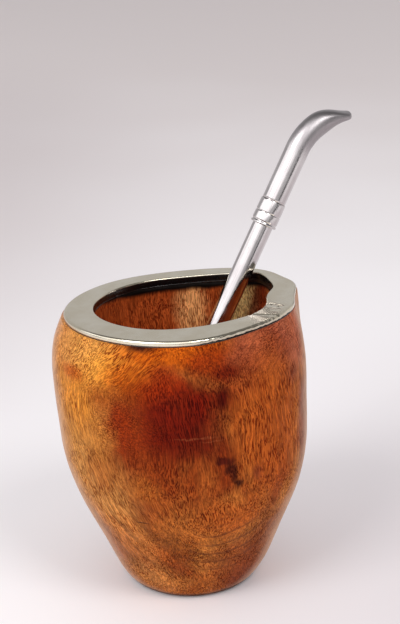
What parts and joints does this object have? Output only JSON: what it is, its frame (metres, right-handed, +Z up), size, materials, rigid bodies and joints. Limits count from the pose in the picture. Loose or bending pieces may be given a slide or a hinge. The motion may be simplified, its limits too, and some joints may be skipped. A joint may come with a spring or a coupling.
{
  "type": "mate cup",
  "caption": "Carved wooden mate cup with a flat polished metal rim bedded in black mastic, and the bent metal drinking straw that leans in it",
  "frame": {"origin": "middle of the cup's flat base, on the surface that it stands on", "axes": "+Z up out of the mouth, -Y towards the viewer of the picture, +X to the viewer's right, where the straw's mouthpiece points"},
  "size_m": [0.1089, 0.0923, 0.156],
  "materials": {
    "wood": "oiled red-brown hardwood with open pores, orange and golden patches and a small dark knot",
    "rim_metal": "polished warm grey nickel silver with small dents near the lobe and a hammered lip",
    "mastic": "glossy black mastic with an uneven lower edge",
    "straw_metal": "polished stainless steel with fine lengthwise marks"
  },
  "bodies": {
    "root": {"cup_body": "wood", "rim_ring": "rim_metal", "rim_bed": "mastic", "straw_mouthpiece": "straw_metal", "straw_ferrule": "straw_metal", "straw_stem": "straw_metal", "straw_filter": "straw_metal"}
  },
  "joints": []
}
